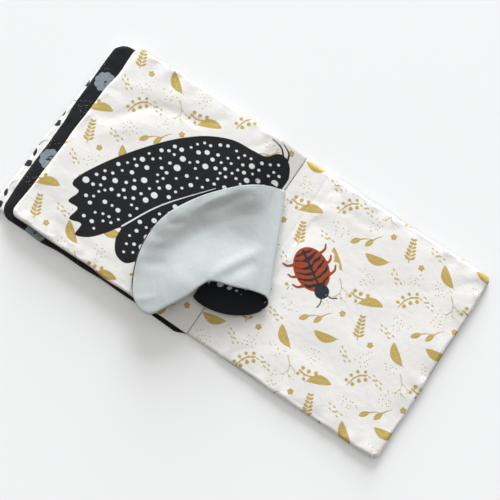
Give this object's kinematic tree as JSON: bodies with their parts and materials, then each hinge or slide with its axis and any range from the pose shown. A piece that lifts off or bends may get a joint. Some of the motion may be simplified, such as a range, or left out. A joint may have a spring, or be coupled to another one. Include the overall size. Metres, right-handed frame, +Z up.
{
  "type": "baby soft book",
  "caption": "Cloth book lying open: padded leaves hinged at a sewn spine, and a cloth flap folded back over the top leaf.",
  "frame": {"origin": "on the table under the middle of the unpadded spine strip", "axes": "+X from the spine to the open back leaf's fore edge, +Y along the spine towards the head, +Z up from the table"},
  "size_m": [0.4179, 0.205, 0.0185],
  "materials": {
    "cream_print_cloth": "plain-woven cotton, cream with an ochre print",
    "line_print_cloth": "plain-woven cotton, cream with black marks",
    "black_print_cloth": "plain-woven cotton, black with a blue-grey print and white specks",
    "dotted_black_cloth": "plain-woven cotton, black with white dots",
    "grey_lining": "plain-woven cotton, blue-grey, unprinted",
    "wadding": "white polyester wadding",
    "thread": "spun sewing thread, cream"
  },
  "bodies": {
    "back_cover": {"spine_strip_lower_cloth": "black_print_cloth", "spine_strip_upper_cloth": "cream_print_cloth", "back_leaf_lower_cloth": "black_print_cloth", "back_leaf_upper_cloth": "cream_print_cloth", "back_leaf_wadding": "wadding", "binding_stitches": "thread", "back_leaf_stitches": "thread"},
    "front_leaf": {"front_leaf_lower_cloth": "black_print_cloth", "front_leaf_upper_cloth": "line_print_cloth", "front_leaf_wadding": "wadding"},
    "inner_left_leaf": {"inner_left_leaf_lower_cloth": "line_print_cloth", "inner_left_leaf_upper_cloth": "black_print_cloth", "inner_left_leaf_wadding": "wadding"},
    "inner_right_leaf": {"inner_right_leaf_lower_cloth": "black_print_cloth", "inner_right_leaf_upper_cloth": "cream_print_cloth", "inner_right_leaf_wadding": "wadding", "inner_leaf_stitches": "thread", "flap_base_lining": "grey_lining", "flap_base_front": "dotted_black_cloth", "flap_stitches": "thread"},
    "flap_wing": {"flap_wing_lining": "grey_lining", "flap_wing_front": "dotted_black_cloth"}
  },
  "joints": [
    {"name": "front_leaf_turn", "type": "hinge", "parent": "back_cover", "child": "front_leaf", "pos_m": [-0.0145, 0, 0.00065], "axis": [0, 1, 0], "range_deg": [0, 24]},
    {"name": "inner_left_leaf_turn", "type": "hinge", "parent": "front_leaf", "child": "inner_left_leaf", "pos_m": [-0.0145, 0, 0.00245], "axis": [0, 1, 0], "range_deg": [0, 36]},
    {"name": "inner_right_leaf_turn", "type": "hinge", "parent": "inner_left_leaf", "child": "inner_right_leaf", "pos_m": [-0.0145, 0, 0.00425], "axis": [0, 1, 0], "range_deg": [0, 90], "deforming": ["flap_base_lining", "flap_base_front"]},
    {"name": "flap_lift", "type": "hinge", "parent": "inner_right_leaf", "child": "flap_wing", "pos_m": [0.00515, 0.01464, 0.0104], "axis": [-0.4287, 0.9034, 0], "range_deg": [0, 150], "deforming": ["flap_wing_lining", "flap_wing_front"]}
  ]
}
